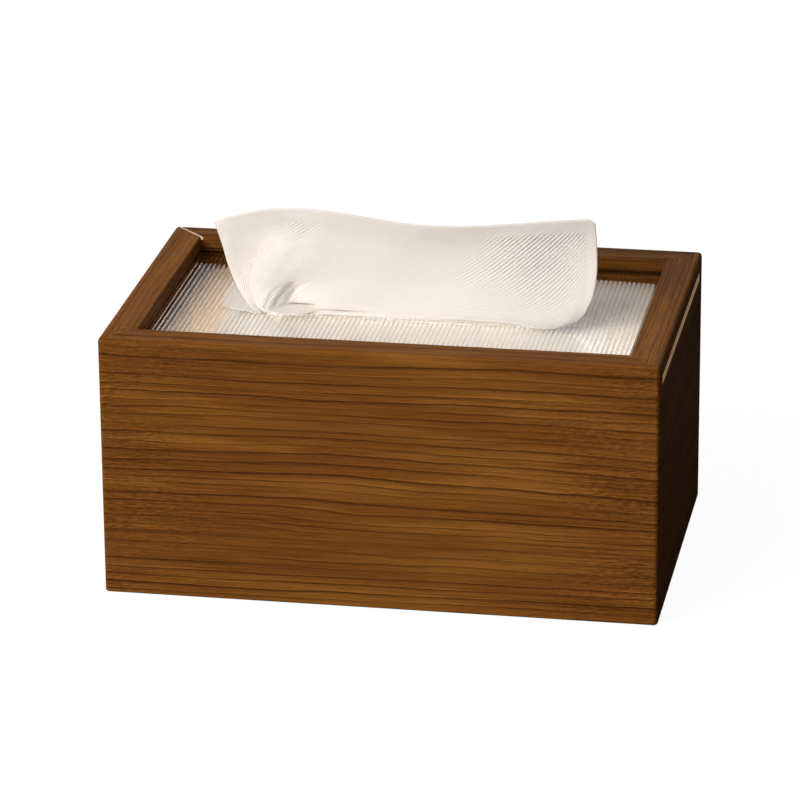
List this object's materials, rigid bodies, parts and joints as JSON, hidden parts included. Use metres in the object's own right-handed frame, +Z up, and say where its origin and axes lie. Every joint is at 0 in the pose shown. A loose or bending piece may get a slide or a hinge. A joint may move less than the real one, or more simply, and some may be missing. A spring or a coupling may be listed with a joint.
{
  "type": "tissue box",
  "caption": "Oblong wooden tissue box with mitred corners and a clear reeded lid that slides out through a slot in one end; a tissue stands up through the lid's opening.",
  "frame": {"origin": "on the table under the middle of the box", "axes": "+X along the box to the end where the lid slides out, +Y to the back, +Z up"},
  "size_m": [0.25, 0.16, 0.1612],
  "materials": {
    "walnut": "oiled walnut, satin, straight grain along each board",
    "base_ply": "walnut-faced board, matt",
    "spline_beech": "bare beech",
    "clear_acrylic": "clear cast acrylic, reeded on its upper face, polished",
    "pad_felt": "dark pressed felt",
    "tissue_paper": "soft white embossed tissue"
  },
  "bodies": {
    "root": {"front_board": "walnut", "back_board": "walnut", "left_end_board": "walnut", "right_end_board": "walnut", "base_panel": "base_ply", "corner_spline_front_left": "spline_beech", "corner_spline_front_right": "spline_beech", "corner_spline_back_left": "spline_beech", "corner_spline_back_right": "spline_beech", "foot_pad_front_left": "pad_felt", "foot_pad_front_right": "pad_felt", "foot_pad_back_left": "pad_felt", "foot_pad_back_right": "pad_felt", "tissue_pack": "tissue_paper", "tissue_sheet": "tissue_paper"},
    "lid": {"lid_panel": "clear_acrylic"}
  },
  "joints": [
    {"name": "lid_slide", "type": "slide", "parent": "root", "child": "lid", "axis": [1, 0, 0], "range_m": [0, 0.236], "deforming": ["tissue_sheet"]}
  ]
}
